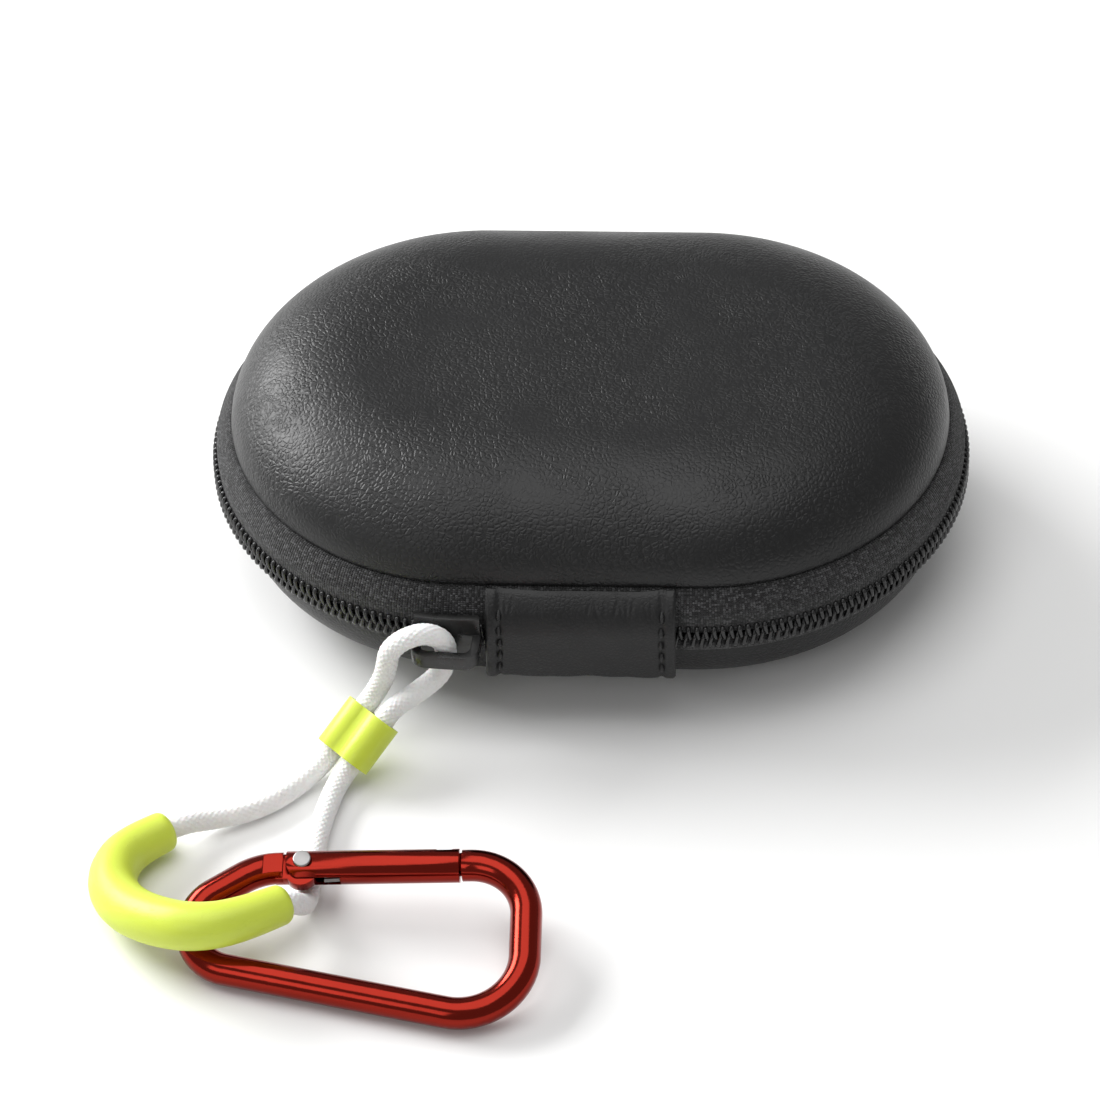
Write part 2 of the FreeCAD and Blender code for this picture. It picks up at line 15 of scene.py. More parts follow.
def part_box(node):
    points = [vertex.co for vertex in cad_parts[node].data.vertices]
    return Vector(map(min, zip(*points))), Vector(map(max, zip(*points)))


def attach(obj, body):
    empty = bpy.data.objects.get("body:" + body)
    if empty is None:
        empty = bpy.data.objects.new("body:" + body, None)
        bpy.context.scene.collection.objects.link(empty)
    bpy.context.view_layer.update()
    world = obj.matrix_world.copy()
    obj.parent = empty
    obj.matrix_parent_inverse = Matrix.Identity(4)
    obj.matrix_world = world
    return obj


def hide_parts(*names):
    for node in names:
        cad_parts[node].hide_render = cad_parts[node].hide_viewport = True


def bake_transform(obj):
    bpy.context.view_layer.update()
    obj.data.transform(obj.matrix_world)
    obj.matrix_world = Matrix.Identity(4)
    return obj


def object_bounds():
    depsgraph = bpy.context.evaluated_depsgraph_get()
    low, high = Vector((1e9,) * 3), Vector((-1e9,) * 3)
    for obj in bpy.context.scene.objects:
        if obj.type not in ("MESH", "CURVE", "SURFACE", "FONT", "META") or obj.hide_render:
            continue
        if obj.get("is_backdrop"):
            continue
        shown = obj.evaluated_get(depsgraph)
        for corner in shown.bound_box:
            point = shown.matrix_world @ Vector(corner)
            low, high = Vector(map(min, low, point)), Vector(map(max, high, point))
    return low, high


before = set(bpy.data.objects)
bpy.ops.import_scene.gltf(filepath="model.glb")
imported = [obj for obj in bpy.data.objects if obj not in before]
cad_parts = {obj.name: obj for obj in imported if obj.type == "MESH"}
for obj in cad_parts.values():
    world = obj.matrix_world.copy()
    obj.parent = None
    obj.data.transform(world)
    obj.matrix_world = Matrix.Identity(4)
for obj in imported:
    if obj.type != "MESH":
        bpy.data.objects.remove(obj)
cad_box = [list(corner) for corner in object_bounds()]
print("box in mm", [[round(v * 1000, 1) for v in corner] for corner in cad_box])

# %% [markdown]
# ## Sizes
# Shapes are drafted in millimetres and multiplied by MM when they become mesh. The chain's line is a
# racetrack: two half circles joined by straight sides.

# %% Sizes
MM = 0.001
side_half = 16.5
chain_radius = 41.0
case_height = 37.0
middle_height = case_height / 2
half_side, end_radius, mid_z = side_half * MM, chain_radius * MM, middle_height * MM
once_round = 4 * half_side + 2 * math.pi * end_radius
print("once round the chain", round(once_round * 1000, 1), "mm")

# %% [markdown]
# ## Camera
# The pouch is seen from the front, a little from its right, and from 43.5 degrees up. A long lens held 0.8
# m away keeps the round ends from swelling. The camera's axes are worked out from those angles, then
# turned a little about the line of sight.

# %% Camera
azimuth, elevation, roll = math.radians(3.51), math.radians(43.5), math.radians(-1.65)
back = Vector((math.sin(azimuth) * math.cos(elevation), -math.cos(azimuth) * math.cos(elevation),
               math.sin(elevation)))
across = Vector((0, 0, 1)).cross(back).normalized()
up = back.cross(across)
right = math.cos(roll) * across + math.sin(roll) * up
top = math.cos(roll) * up - math.sin(roll) * across
place = Vector((-6.39, -4.46, 0)) * MM + 0.8 * back
camera = bpy.data.objects.new("camera", bpy.data.cameras.new("camera"))
bpy.context.scene.collection.objects.link(camera)
camera.data.lens = 169.4
camera.data.sensor_width = 36
camera.data.clip_start, camera.data.clip_end = 0.01, 20
camera.matrix_world = Matrix(((right.x, top.x, back.x, place.x), (right.y, top.y, back.y, place.y),
                              (right.z, top.z, back.z, place.z), (0, 0, 0, 1)))
bpy.context.scene.camera = camera
print("camera stands at", [round(v, 3) for v in place])

# %% [markdown]
# ## Small helpers
# Operators work on whatever is selected, so each step starts by selecting one thing only. A finished piece
# has its place in its mesh and its object at the origin.


# %% Helpers
def only(piece):
    """Select one object and nothing else."""
    bpy.ops.object.select_all(action="DESELECT")
    piece.select_set(True)
    bpy.context.view_layer.objects.active = piece


def edit(piece):
    only(piece)
    bpy.ops.object.mode_set(mode="EDIT")
    bpy.ops.mesh.select_mode(type="VERT")
    bpy.ops.mesh.select_all(action="SELECT")


def done_editing():
    bpy.ops.object.mode_set(mode="OBJECT")


def settle(piece):
    """Put the object's place, turn and size into its mesh."""
    only(piece)
    bpy.ops.object.transform_apply(location=True, rotation=True, scale=True)


def modify(piece, kind, **settings):
    """Add a modifier, set it up and apply it."""
    only(piece)
    added = piece.modifiers.new(kind.lower(), kind)
    for name, value in settings.items():
        setattr(added, name, value)
    bpy.ops.object.modifier_apply(modifier=added.name)


def smooth(piece, degrees):
    only(piece)
    bpy.ops.object.shade_smooth_by_angle(angle=math.radians(degrees))


def as_mesh(curve):
    """Turn a curve with a bevel into a mesh object."""
    only(curve)
    bpy.ops.object.convert(target="MESH")
    return bpy.context.object


def join_pieces(parts, name):
    """Join mesh objects into one."""
    bpy.ops.object.select_all(action="DESELECT")
    for part in parts:
        part.select_set(True)
    bpy.context.view_layer.objects.active = parts[0]
    bpy.ops.object.join()
    made = bpy.context.object
    made.name = name
    return made


def dress(piece, material, body, slot, *nodes):
    """Give a finished piece its material, its body and the frame nodes that it stands for."""
    piece.data.materials.clear()
    piece.data.materials.append(material)
    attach(piece, body)
    if nodes:
        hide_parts(*nodes)
    print(piece.name, len(piece.data.polygons), "faces")


# %% [markdown]
# ## Floor and light
# A pale table top and a white room. The largest light stands to the left and a little behind, so a broad
# soft highlight lies on the left shoulder and the soft shadow falls towards the viewer and to the right. A
# panel straight above whitens the table, from where no mirrored light reaches the viewer off the flat
# crown.


# %% Floor and light
def panel(name, spot, aim, size, watts):
    """Soft rectangular light at spot, turned towards aim."""
    light = bpy.data.lights.new(name, "AREA")
    light.shape = "RECTANGLE"
    light.size, light.size_y = size
    light.energy = watts
    lamp = bpy.data.objects.new(name, light)
    bpy.context.scene.collection.objects.link(lamp)
    lamp.location = spot
    lamp.rotation_mode = "QUATERNION"
    lamp.rotation_quaternion = (Vector(aim) - Vector(spot)).to_track_quat("-Z", "Y")


panel("window light", (-0.88, 0.50, 0.58), (-0.02, 0, 0.01), (0.8, 0.5), 19.0)
panel("top light", (-0.1, 0.05, 1.5), (0, 0, 0), (1.3, 1.3), 10.5)
panel("front fill", (-0.6, -0.9, 0.75), (-0.03, -0.05, 0), (0.5, 0.5), 1.6)
world = bpy.data.worlds.new("room")
bpy.context.scene.world = world
world.use_nodes = True
world.node_tree.nodes["Background"].inputs["Color"].default_value = (1.0, 1.0, 1.0, 1)
world.node_tree.nodes["Background"].inputs["Strength"].default_value = 0.34
bpy.context.scene.view_settings.view_transform = "Standard"

bpy.ops.object.select_all(action="DESELECT")
bpy.ops.mesh.primitive_plane_add(size=8, location=(0, 0, -0.0001))
floor = bpy.context.object
floor.name = "floor"
floor_paint = bpy.data.materials.new("pale table")
floor_paint.use_nodes = True
paint = floor_paint.node_tree.nodes["Principled BSDF"]
paint.inputs["Base Color"].default_value = (0.93, 0.93, 0.925, 1)
paint.inputs["Roughness"].default_value = 0.55
floor.data.materials.append(floor_paint)
floor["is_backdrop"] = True

# %% [markdown]
# ## Effects shared by several materials
# Leather, rubber, enamel and metal all show the same kinds of small change: a grain, uneven wear, fine
# lines. Each is built once as a node group that puts out a height or a mask, and every material sets its
# own scale and strength. Patterns read the piece's own coordinates, so they stay put when the piece moves.


# %% Node group tools
def new_group(name, inputs, outputs):
    """Empty node group with float inputs (name, start value) and outputs."""
    group = bpy.data.node_groups.new(name, "ShaderNodeTree")
    for label, start in inputs:
        socket = group.interface.new_socket(label, in_out="INPUT", socket_type="NodeSocketFloat")
        socket.default_value = start
    for label in outputs:
        group.interface.new_socket(label, in_out="OUTPUT", socket_type="NodeSocketFloat")
    source = group.nodes.new("NodeGroupInput")
    sink = group.nodes.new("NodeGroupOutput")
    return group, source, sink


def node(tree, kind, **settings):
    """Add a node. A setting is an input's start value if the node has such an input, else a property."""
    made = tree.nodes.new("ShaderNode" + kind)
    for name, value in settings.items():
        label = name.replace("_", " ")
        if label in made.inputs:
            made.inputs[label].default_value = value
        else:
            setattr(made, name, value)
    return made


def math_node(tree, operation, first, second=None, clamp=False):
    """One sum. first and second are sockets or numbers."""
    made = tree.nodes.new("ShaderNodeMath")
    made.operation = operation
    made.use_clamp = clamp
    for slot, value in enumerate((first, second)):
        if value is None:
            continue
        if isinstance(value, (int, float)):
            made.inputs[slot].default_value = value
        else:
            tree.links.new(value, made.inputs[slot])
    return made.outputs[0]


def times(tree, first, second):
    return math_node(tree, "MULTIPLY", first, second)


def ramp(tree, value, low, high):
    """0 below low, 1 above high, smooth between."""
    made = tree.nodes.new("ShaderNodeMapRange")
    made.interpolation_type = "SMOOTHSTEP"
    tree.links.new(value, made.inputs["Value"])
    made.inputs["From Min"].default_value = low
    made.inputs["From Max"].default_value = high
    return made.outputs["Result"]


# %% [markdown]
# ### Pebble grain
# Embossed leather is a field of small rounded cells parted by fine creases. A Voronoi pattern's distance
# to its cell edges gives the creases. Its coordinates are first pushed about by a noise, so no cell looks
# straight. The group's second output is painted shade: a material darkens its colour with it in the creases.


# %% Pebble grain
grain, grain_in, grain_out = new_group("pebble grain", [("Scale", 1000.0), ("Unevenness", 0.5)],
                                       ["Height", "Crease Shade"])
where = node(grain, "TexCoord")
push = node(grain, "TexNoise", Scale=420.0, Detail=2.0)
shove = node(grain, "VectorMath", operation="SCALE")
shove.inputs["Scale"].default_value = 0.0011
moved = node(grain, "VectorMath", operation="ADD")
cells = node(grain, "TexVoronoi", feature="DISTANCE_TO_EDGE")
fine = node(grain, "TexNoise", Detail=3.0)
broad = node(grain, "TexNoise", Scale=95.0, Detail=2.0)
for placed in (push.inputs["Vector"], moved.inputs[0], fine.inputs["Vector"], broad.inputs["Vector"]):
    grain.links.new(where.outputs["Object"], placed)
grain.links.new(push.outputs["Color"], shove.inputs[0])
grain.links.new(shove.outputs[0], moved.inputs[1])
grain.links.new(moved.outputs[0], cells.inputs["Vector"])
grain.links.new(grain_in.outputs["Scale"], cells.inputs["Scale"])
grain.links.new(times(grain, grain_in.outputs["Scale"], 3.1), fine.inputs["Scale"])
unevenness = grain_in.outputs["Unevenness"]
pebble = ramp(grain, cells.outputs["Distance"], 0.0, 0.3)
relief = times(grain, ramp(grain, broad.outputs["Fac"], 0.3, 0.65), unevenness)
kept = math_node(grain, "SUBTRACT", 1.0, math_node(grain, "SUBTRACT", unevenness, relief))
deep = times(grain, math_node(grain, "SUBTRACT", 1.0, pebble), kept)
height = math_node(grain, "SUBTRACT", times(grain, fine.outputs["Fac"], 0.35), deep)
grain.links.new(height, grain_out.inputs["Height"])
# Painted shade: this crease mask goes out only to darken a material's colour in the creases.
grain.links.new(deep, grain_out.inputs["Crease Shade"])
print("group", grain.name, len(grain.nodes), "nodes")

# %% [markdown]
# ### Wear and dust
# Handled surfaces are never even: broad soft patches of handling and a scatter of tiny specks. The group
# puts out both, and a material uses them to vary its roughness and colour a little.

# %% Wear and dust
wear, wear_in, wear_out = new_group("wear and dust", [("Patch Scale", 60.0), ("Speck Scale", 2600.0)],
                                    ["Patches", "Specks"])
where = node(wear, "TexCoord")
patch = node(wear, "TexNoise", Detail=4.0, Roughness=0.6)
speck = node(wear, "TexNoise", Detail=1.0)
for noise, label in ((patch, "Patch Scale"), (speck, "Speck Scale")):
    wear.links.new(where.outputs["Object"], noise.inputs["Vector"])
    wear.links.new(wear_in.outputs[label], noise.inputs["Scale"])
wear.links.new(ramp(wear, patch.outputs["Fac"], 0.3, 0.7), wear_out.inputs["Patches"])
wear.links.new(ramp(wear, speck.outputs["Fac"], 0.62, 0.74), wear_out.inputs["Specks"])
print("group", wear.name, len(wear.nodes), "nodes")

# %% [markdown]
# ### Thread weave
# The zip tape is woven. The group reads the piece's UV map, which is measured in metres along and across
# the cloth, so one thread has the same width everywhere. Two waves make the threads that run each way, a
# chequer decides which lies on top, and a noise per crossing gives each its own tone. The gap mask is
# painted shade: it darkens the low gaps between threads.

# %% Thread weave
weave, weave_in, weave_out = new_group("thread weave", [("Along", 0.0005), ("Across", 0.0005)],
                                       ["Height", "Shade", "Gap Shade"])
where = node(weave, "TexCoord")
split = node(weave, "SeparateXYZ")
weave.links.new(where.outputs["UV"], split.inputs[0])
run = math_node(weave, "DIVIDE", split.outputs["X"], weave_in.outputs["Along"])
rise = math_node(weave, "DIVIDE", split.outputs["Y"], weave_in.outputs["Across"])
run_cell, rise_cell = math_node(weave, "FLOOR", run), math_node(weave, "FLOOR", rise)
chequer = math_node(weave, "MODULO", math_node(weave, "ADD", run_cell, rise_cell), 2.0)
over = math_node(weave, "ABSOLUTE", chequer)
run_arch = math_node(weave, "SINE", times(weave, math_node(weave, "FRACT", run), math.pi))
rise_arch = math_node(weave, "SINE", times(weave, math_node(weave, "FRACT", rise), math.pi))
on_top = times(weave, run_arch, math_node(weave, "POWER", rise_arch, 0.5))
beneath = times(weave, rise_arch, math_node(weave, "POWER", run_arch, 0.5))
cloth = math_node(weave, "ADD", times(weave, over, on_top),
                  times(weave, math_node(weave, "SUBTRACT", 1.0, over), beneath))
cell = node(weave, "CombineXYZ")
weave.links.new(run_cell, cell.inputs[0])
weave.links.new(rise_cell, cell.inputs[1])
dice = node(weave, "TexWhiteNoise", noise_dimensions="3D")
weave.links.new(cell.outputs[0], dice.inputs["Vector"])
weave.links.new(cloth, weave_out.inputs["Height"])
weave.links.new(dice.outputs["Value"], weave_out.inputs["Shade"])
# Painted shade: the gap mask is 0 in the low gaps between threads and 1 on their tops.
weave.links.new(ramp(weave, cloth, 0.1, 0.4), weave_out.inputs["Gap Shade"])
print("group", weave.name, len(weave.nodes), "nodes")

# %% [markdown]
# ### Fine lines
# Turned and drawn metal carries hair lines. A noise squeezed hard along one direction gives them.

# %% Fine lines
lines, lines_in, lines_out = new_group("fine lines", [("Length Scale", 60.0), ("Line Scale", 5000.0)],
                                       ["Height"])
where = node(lines, "TexCoord")
split = node(lines, "SeparateXYZ")
joined = node(lines, "CombineXYZ")
hair = node(lines, "TexNoise", Scale=1.0, Detail=3.0)
lines.links.new(where.outputs["Object"], split.inputs[0])
for n, (axis, label) in enumerate((("X", "Length Scale"), ("Y", "Line Scale"), ("Z", "Line Scale"))):
    lines.links.new(times(lines, split.outputs[axis], lines_in.outputs[label]), joined.inputs[n])
lines.links.new(joined.outputs[0], hair.inputs["Vector"])
lines.links.new(hair.outputs["Fac"], lines_out.inputs["Height"])
print("group", lines.name, len(lines.nodes), "nodes")

# %% [markdown]
# ## Materials
# Each material is a Principled shader with its own constants. The groups above vary its colour and
# roughness and drive its bump.


# %% Material tools
def new_material(name, roughness, **constants):
    """A Principled material. Constants are set on the shader's own sockets."""
    made = bpy.data.materials.new(name)
    made.use_nodes = True
    shader = made.node_tree.nodes["Principled BSDF"]
    shader.inputs["Roughness"].default_value = roughness
    for label, value in constants.items():
        shader.inputs[label.replace("_", " ")].default_value = value
    return made, made.node_tree, shader


def use(tree, group, **values):
    """Place a node group in a material with its own values."""
    made = tree.nodes.new("ShaderNodeGroup")
    made.node_tree = group
    for label, value in values.items():
        made.inputs[label.replace("_", " ")].default_value = value
    return made


def blend_colour(tree, shader, mask, dark, light):
    """Base colour between two tones by a mask."""
    mix = tree.nodes.new("ShaderNodeMix")
    mix.data_type = "RGBA"
    tree.links.new(mask, mix.inputs["Factor"])
    mix.inputs["A"].default_value = (*dark, 1)
    mix.inputs["B"].default_value = (*light, 1)
    tree.links.new(mix.outputs["Result"], shader.inputs["Base Color"])


def vary_roughness(tree, shader, mask, low, high):
    made = tree.nodes.new("ShaderNodeMapRange")
    tree.links.new(mask, made.inputs["Value"])
    made.inputs["To Min"].default_value = low
    made.inputs["To Max"].default_value = high
    tree.links.new(made.outputs["Result"], shader.inputs["Roughness"])


def bump(tree, shader, height, distance):
    """Bump from a height socket. distance is the real height of the relief in metres."""
    made = tree.nodes.new("ShaderNodeBump")
    made.inputs["Distance"].default_value = distance
    made.inputs["Strength"].default_value = 1.0
    tree.links.new(height, made.inputs["Height"])
    tree.links.new(made.outputs["Normal"], shader.inputs["Normal"])


# %% [markdown]
# Leather comes in two finishes: the grained cover of the domes and the smoother patch over the hinge.


# %% Leather
def leather(name, scale, depth, unevenness, roughness, tone):
    made, tree, shader = new_material(name, roughness, Specular_IOR_Level=0.36)
    hide = use(tree, grain, Scale=scale, Unevenness=unevenness)
    marks = use(tree, wear, Patch_Scale=45.0, Speck_Scale=2200.0)
    # Painted shade: on both leathers the colour falls to 0.7 of the tone in the grain's creases.
    dark = tuple(c * 0.7 for c in tone)
    blend_colour(tree, shader, math_node(tree, "SUBTRACT", 1.0, hide.outputs["Crease Shade"], True), dark, tone)
    vary_roughness(tree, shader, marks.outputs["Patches"], roughness - 0.05, roughness + 0.05)
    bump(tree, shader, hide.outputs["Height"], depth)
    return made


cover_leather = leather("grained leather", 1250.0, 0.00006, 0.6, 0.40, (0.0115, 0.0116, 0.012))
patch_leather = leather("smooth leather", 1600.0, 0.00003, 0.4, 0.42, (0.0115, 0.0115, 0.012))
print("leather", cover_leather.name, patch_leather.name)

# %% [markdown]
# Woven and knitted goods: the zip tape is speckled because some of its threads are lighter. The lining is
# a brushed knit with almost no sheen.


# %% Cloth
def woven(name, along, across, dark, light, depth):
    made, tree, shader = new_material(name, 0.85, Sheen_Weight=0.15, Sheen_Roughness=0.5,
                                      Specular_IOR_Level=0.3)
    cloth_group = use(tree, weave, Along=along, Across=across)
    # Each crossing keeps its own random tone, and painted shade pushes the gaps between threads to the dark
    # tone.
    thread_tone_and_gap_shade = math_node(tree, "MULTIPLY", math_node(tree, "POWER", cloth_group.outputs["Shade"], 2.2),
                     cloth_group.outputs["Gap Shade"])
    blend_colour(tree, shader, thread_tone_and_gap_shade, dark, light)
    bump(tree, shader, cloth_group.outputs["Height"], depth)
    return made


def brushed_cloth(name, tone):
    made, tree, shader = new_material(name, 0.92, Sheen_Weight=0.3, Sheen_Roughness=0.6)
    nap = use(tree, wear, Patch_Scale=160.0, Speck_Scale=3800.0)
    blend_colour(tree, shader, nap.outputs["Patches"], tuple(c * 0.7 for c in tone), tone)
    bump(tree, shader, nap.outputs["Specks"], 0.00008)
    return made


tape_cloth = woven("zip tape", 0.00042, 0.00029, (0.010, 0.010, 0.0103), (0.10, 0.10, 0.103), 0.00016)
lining_cloth = brushed_cloth("lining knit", (0.055, 0.055, 0.06))
net_cloth = brushed_cloth("pocket net", (0.03, 0.03, 0.03))
elastic_cloth = brushed_cloth("pocket elastic", (0.035, 0.035, 0.035))
foam = brushed_cloth("moulded foam", (0.05, 0.05, 0.055))
print("cloth", tape_cloth.name, lining_cloth.name)

# %% [markdown]
# The hard black pieces: drawn nylon for the teeth, enamel for the slider, twisted thread for the stitches.


# %% Nylon, enamel, thread
def glossy(name, tone, roughness, coat, depth, patch):
    made, tree, shader = new_material(name, roughness, Coat_Weight=coat, Coat_Roughness=0.12)
    marks = use(tree, wear, Patch_Scale=patch, Speck_Scale=4200.0)
    blend_colour(tree, shader, marks.outputs["Specks"], tone, tuple(min(1.0, c * 1.8 + 0.01) for c in tone))
    vary_roughness(tree, shader, marks.outputs["Patches"], roughness - 0.06, roughness + 0.08)
    bump(tree, shader, marks.outputs["Patches"], depth)
    return made


nylon = glossy("black nylon", (0.013, 0.013, 0.0135), 0.20, 0.0, 0.00001, 900.0)
enamel = glossy("black enamel", (0.007, 0.007, 0.0068), 0.30, 0.12, 0.000004, 400.0)
thread = glossy("black thread", (0.016, 0.016, 0.0165), 0.62, 0.0, 0.00006, 2200.0)
print("hard black", nylon.name, enamel.name, thread.name)


# %% [markdown]
# The bead and the grip are lime: the bead a moulded plastic, the grip a softer rubber with a finer skin.
# Light goes a little way into both, which keeps their shaded sides bright.


# %% Lime plastic and rubber
def lime(name, tone, roughness, depth):
    made, tree, shader = new_material(name, roughness, Subsurface_Weight=0.25, Subsurface_Scale=0.0012,
                                      Subsurface_Radius=(1.0, 0.9, 0.25), Specular_IOR_Level=0.4)
    marks = use(tree, wear, Patch_Scale=70.0, Speck_Scale=3000.0)
    blend_colour(tree, shader, marks.outputs["Patches"], tuple(c * 0.955 for c in tone), tone)
    vary_roughness(tree, shader, marks.outputs["Patches"], roughness - 0.05, roughness + 0.07)
    bump(tree, shader, marks.outputs["Specks"], depth)
    return made


lime_plastic = lime("lime plastic", (0.63, 0.745, 0.07), 0.36, 0.000012)
lime_rubber = lime("lime rubber", (0.63, 0.74, 0.08), 0.42, 0.00002)
print("lime", lime_plastic.name, lime_rubber.name)


# %% [markdown]
# Red anodised aluminium mirrors the room through a thin red dye, so it is a full metal with low roughness.
# Bare steel is the rivet and the spring.


# %% Metals
def metal(name, tone, roughness, long_scale, line_scale, depth):
    made, tree, shader = new_material(name, roughness, Metallic=1.0)
    hair_lines = use(tree, lines, Length_Scale=long_scale, Line_Scale=line_scale)
    marks = use(tree, wear, Patch_Scale=110.0, Speck_Scale=2400.0)
    blend_colour(tree, shader, marks.outputs["Patches"], tuple(c * 0.93 for c in tone), tone)
    vary_roughness(tree, shader, hair_lines.outputs["Height"], roughness - 0.05, roughness + 0.06)
    bump(tree, shader, hair_lines.outputs["Height"], depth)
    return made


red_metal = metal("red anodised", (0.25, 0.019, 0.012), 0.15, 180.0, 2600.0, 0.000006)
steel = metal("bare steel", (0.33, 0.325, 0.32), 0.38, 900.0, 5000.0, 0.00001)
print("metal", red_metal.name, steel.name)

# %% [markdown]
# ## Cord
# The lanyard is one limp round braid. It leaves the grip, goes up through the bead and the slider's bridge,
# comes back through the bead, runs under the clip's gate and ends in the grip again. Its line is a NURBS
# curve with listed control points. They follow the mechanical model's line and are moved a little,
# by less than 2 mm, to lie as a limp cord would.

# %% The cord's line
slider_past, slider_play, slider_plate, hole_radius = 2.9, 0.9, 1.1, 1.85
bead_length, strand_aside = 7.8, 2.1
park = math.asin(slider_past / chain_radius)
hole_reach = chain_radius + slider_play + slider_plate + hole_radius
hole_x = -side_half - hole_reach * math.sin(park)
hole_y = -hole_reach * math.cos(park)
bead_top = Vector((-30.4, -48.5, 8.0))
bead_axis = Vector((-4.6, -4.6, -4.4)).normalized()
bead_across = Vector((0.707, -0.707, 0))
bead_low = bead_top + bead_axis * bead_length


def strand(side, end, beyond):
    """A point on the straight cord beside the bead."""
    way = -1 if end is bead_top else 1
    return end + bead_across * (side * strand_aside) + bead_axis * (way * beyond)


grip_route = [(-60.2, -68.9, 3.5), (-64.3, -71.8, 3.5), (-66.4, -76.1, 3.7), (-66.2, -81.2, 4.4),
              (-63.4, -86.2, 5.8), (-58.9, -90.3, 7.9), (-53.3, -93.0, 9.6), (-47.0, -92.0, 9.8),
              (-41.3, -88.0, 9.1)]
cord_route = [
    grip_route[0], (-57.4, -66.92, 3.5), (-53.2, -64.7, 2.1), (-47.9, -62.7, 1.75), (-43.6, -59.6, 1.7),
    (-40.1, -55.9, 1.85), strand(-1, bead_low, 2.6), strand(-1, bead_low, 0), strand(-1, bead_top, 0),
    strand(-1, bead_top, 2.6), (-28.9, -45.3, 12.6), (hole_x - 8.7, hole_y - 0.9, 15.4),
    (hole_x - 8.2, hole_y - 1.0, 18.5), (hole_x - 6.0, hole_y - 1.0, 20.9),
    (hole_x - 2.8, hole_y - 0.4, 21.7), (hole_x, hole_y, 19.7), (hole_x, hole_y, 16.2),
    (hole_x - 0.9, hole_y - 0.5, 13.2), (hole_x - 4.2, hole_y - 2.2, 11.2), strand(1, bead_top, 2.6),
    strand(1, bead_top, 0), strand(1, bead_low, 0), strand(1, bead_low, 2.6), (-36.0, -58.6, 1.8),
    (-36.9, -62.6, 1.7), (-37.7, -67.3, 1.75), (-37.9, -72.4, 1.7), (-38.0, -77.0, 1.7), (-38.2, -80.6, 1.9),
    (-38.6, -83.0, 3.8), (-39.2, -85.2, 6.6), (-40.0, -87.0, 8.5), grip_route[-1],
]


def nurbs(name, points, steps, bevel=0.0, radii=None):
    """A smooth open curve with the points as its control points, in metres."""
    curve = bpy.data.curves.new(name, "CURVE")
    curve.dimensions = "3D"
    curve.resolution_u = steps
    curve.bevel_depth = bevel
    spline = curve.splines.new("NURBS")
    spline.points.add(len(points) - 1)
    for n, point in enumerate(points):
        spline.points[n].co = (*(Vector(point) * MM), 1)
        spline.points[n].radius = radii[n] if radii else 1.0
    spline.order_u = 3
    spline.use_endpoint_u = True
    made = bpy.data.objects.new(name, curve)
    bpy.context.scene.collection.objects.link(made)
    bpy.context.view_layer.update()
    return made


def line_of(curve):
    """The points of a curve that has no bevel, read from its own mesh."""
    bpy.context.view_layer.update()
    made = bpy.data.meshes.new_from_object(curve)
    points = [v.co.copy() for v in made.vertices]
    bpy.data.meshes.remove(made)
    return points


guide = nurbs("cord line", cord_route, 26)
cord_line = line_of(guide)
bpy.data.objects.remove(guide)

# %% [markdown]
# ### The braid
# A smooth tube with a painted braid looks like plastic. Here the tube's rings follow the line, and each
# point of a ring stands out by the height of the strand that is on top there: twelve strands wind each way
# and cross over and under. The UV map is measured along the cord in metres, and round it from 0 to 1.


# %% Braided tube
def rings_along(points):
    """A frame for each point that never twists about the line."""
    tangents = []
    for n in range(len(points)):
        ahead = points[min(n + 1, len(points) - 1)]
        behind = points[max(n - 1, 0)]
        tangents.append((ahead - behind).normalized())
    side = tangents[0].orthogonal().normalized()
    frames = []
    for n, tangent in enumerate(tangents):
        if n:
            side = tangents[n - 1].rotation_difference(tangent) @ side
        side = (side - tangent * side.dot(tangent)).normalized()
        frames.append((side, tangent.cross(side)))
    return frames


def braided(name, points, radius, strands, pitch, relief, around):
    """Mesh tube whose surface is a round braid."""
    frames = rings_along(points)
    vertices, uvs, faces = [], [], []
    travelled = 0.0
    for n, (point, (side, other)) in enumerate(zip(points, frames)):
        if n:
            travelled += (point - points[n - 1]).length
        for k in range(around):
            angle = 2 * math.pi * k / around
            one = strands * k / around + travelled / pitch
            two = strands * k / around - travelled / pitch
            over = (math.floor(one) + math.floor(two)) % 2
            across_strand = (one if over else two) % 1.0
            along_strand = (two if over else one) % 1.0
            crown = (1 - (2 * across_strand - 1) ** 2) * (0.55 + 0.45 * math.sin(math.pi * along_strand))
            out = radius - relief + relief * crown
            vertices.append(point + (side * math.cos(angle) + other * math.sin(angle)) * out)
            uvs.append((travelled, angle / (2 * math.pi)))
    for n in range(len(points) - 1):
        for k in range(around):
            a, b = n * around + k, n * around + (k + 1) % around
            faces.append((a, b, b + around, a + around))
    faces.append(tuple(range(around - 1, -1, -1)))
    faces.append(tuple(len(vertices) - around + k for k in range(around)))
    mesh = bpy.data.meshes.new(name)
    mesh.from_pydata(vertices, [], faces)
    layer = mesh.uv_layers.new(name="cord")
    for face in mesh.polygons:
        for loop in face.loop_indices:
            u, v = uvs[mesh.loops[loop].vertex_index]
            if face.index % around == around - 1 and v == 0.0:
                v = 1.0
            layer.data[loop].uv = (u, v)
    made = bpy.data.objects.new(name, mesh)
    bpy.context.scene.collection.objects.link(made)
    smooth(made, 60)
    return made


